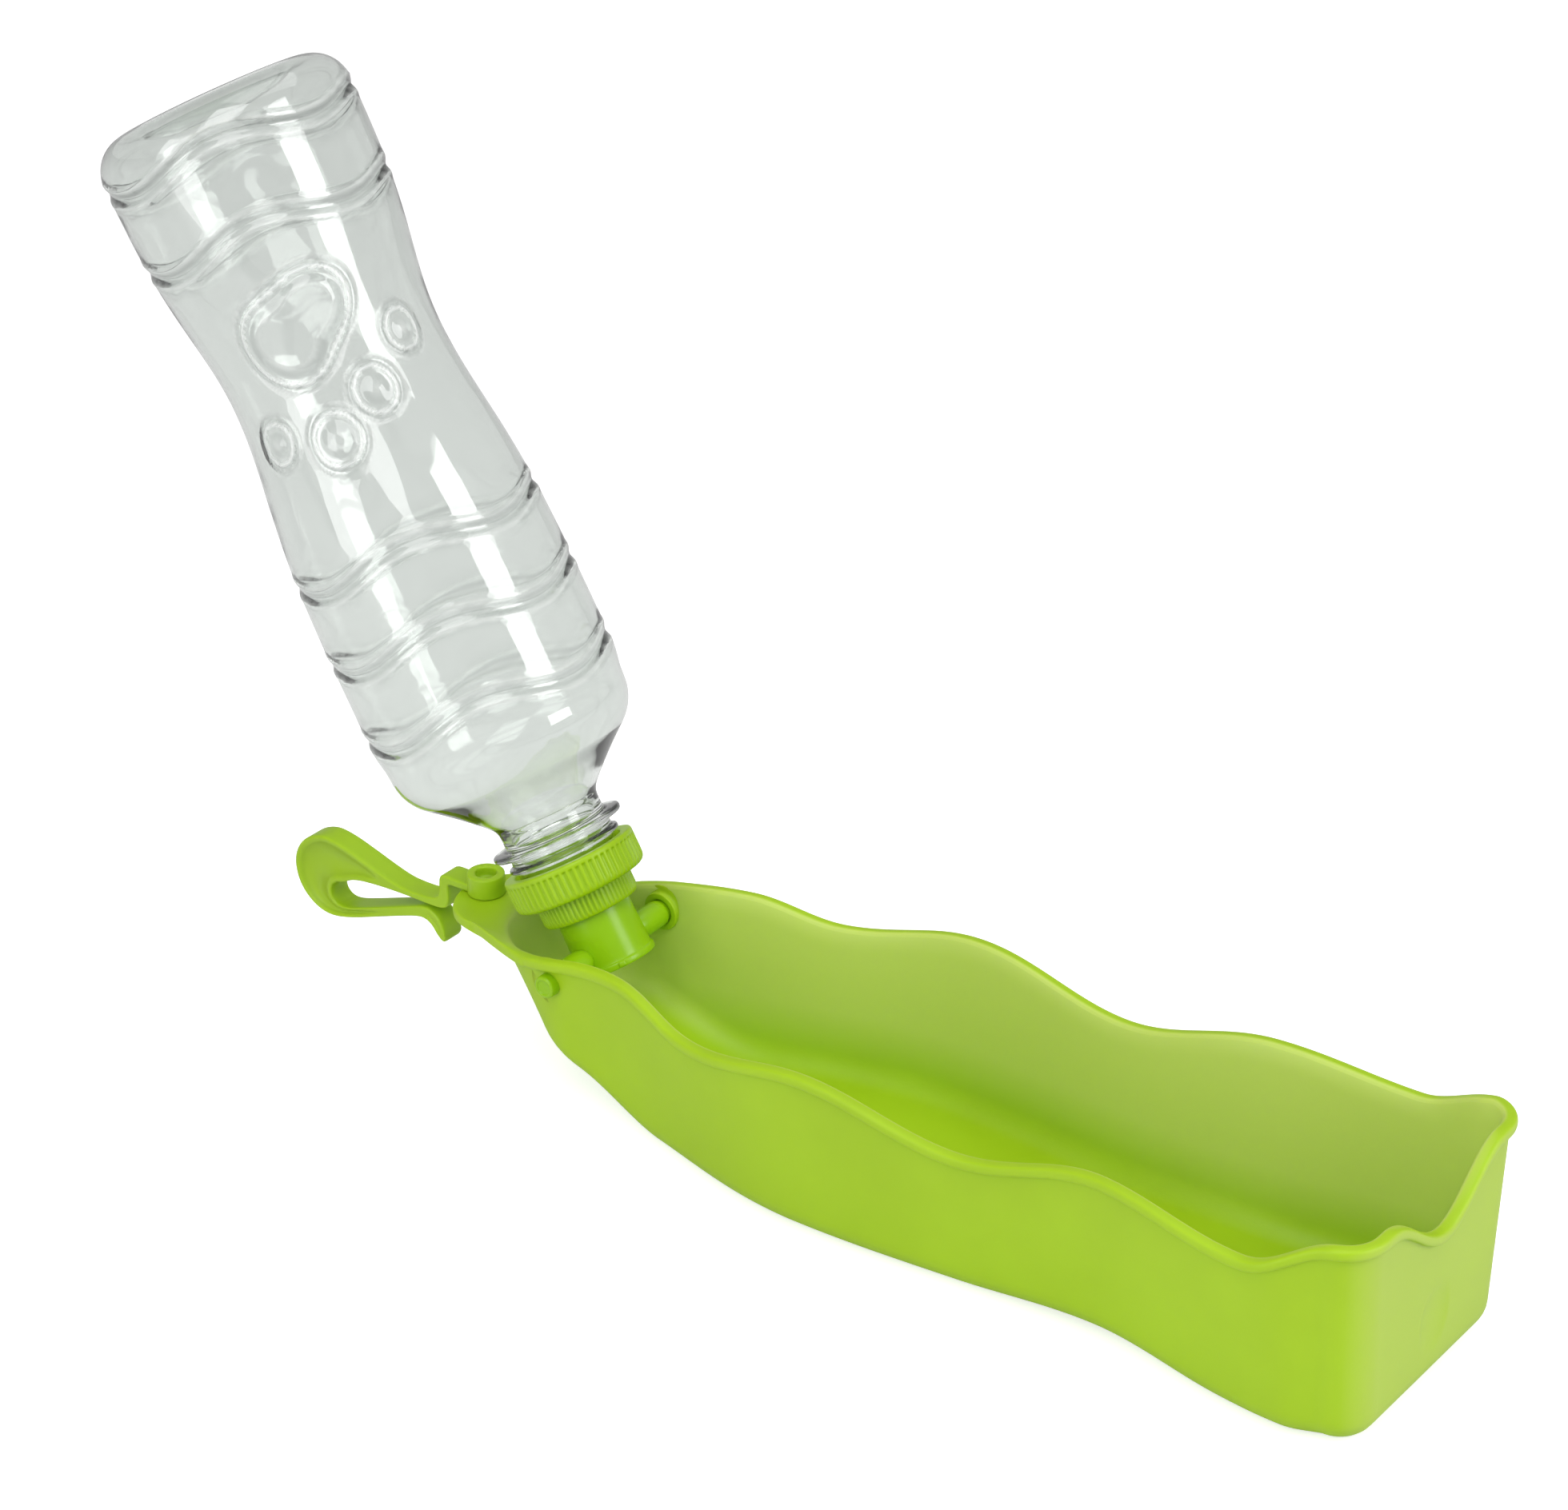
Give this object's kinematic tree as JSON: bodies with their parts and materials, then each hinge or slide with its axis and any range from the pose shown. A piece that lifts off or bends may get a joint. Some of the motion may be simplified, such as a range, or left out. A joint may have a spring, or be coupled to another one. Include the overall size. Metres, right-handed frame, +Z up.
{
  "type": "dog travel water bottle",
  "caption": "Travel water bottle for a dog: clear bottle screwed neck down into a turn-to-open cap, hinged so that it folds into a long wavy drinking trough with a swivelling belt hook",
  "frame": {"origin": "middle of the trough's flat underside, on the ground", "axes": "+X along the trough from the belt hook and the hinge to the far end wall, +Y across, to the left seen from the hook's end, +Z up"},
  "size_m": [0.3619, 0.0792, 0.2378],
  "materials": {
    "lime_trough": "satin moulded polypropylene, slightly translucent, lime green",
    "lime_hook": "satin moulded polypropylene, lime green",
    "lime_barrel": "glossy moulded polypropylene, deeper lime green",
    "lime_cap": "satin moulded polypropylene with fine ribs, lime green",
    "seal_rubber": "soft matt sealing rubber",
    "clear_plastic": "clear blown polyester with a faint grey-green tint"
  },
  "bodies": {
    "trough": {"trough": "lime_trough"},
    "hook": {"belt_hook": "lime_hook"},
    "barrel": {"pivot_barrel": "lime_barrel", "valve_disc": "seal_rubber", "o_ring": "seal_rubber"},
    "cap": {"screw_cap": "lime_cap"},
    "washer": {"neck_washer": "seal_rubber"},
    "bottle": {"bottle": "clear_plastic"}
  },
  "joints": [
    {"name": "bottle_fold", "type": "hinge", "parent": "trough", "child": "barrel", "pos_m": [-0.112, 0, 0.034], "axis": [0, 1, 0], "range_deg": [-15, 120]},
    {"name": "hook_swivel", "type": "hinge", "parent": "trough", "child": "hook", "pos_m": [-0.1505, 0, 0.036], "axis": [0, 0, 1], "range_deg": [-50, 50]},
    {"name": "cap_twist", "type": "hinge", "parent": "barrel", "child": "cap", "pos_m": [-0.112, 0, 0.034], "axis": [-0.5, 0, 0.866], "range_deg": [0, 90]},
    {"name": "neck_rise", "type": "slide", "parent": "cap", "child": "washer", "axis": [-0.5, 0, 0.866], "range_m": [0, 0.00191]},
    {"name": "bottle_unscrew", "type": "hinge", "parent": "washer", "child": "bottle", "pos_m": [-0.112, 0, 0.034], "axis": [-0.5, 0, 0.866], "range_deg": [0, 216]}
  ],
  "couplings": [
    {"joint": "bottle_unscrew", "follows": "neck_rise", "rad_per_m": 1979}
  ]
}
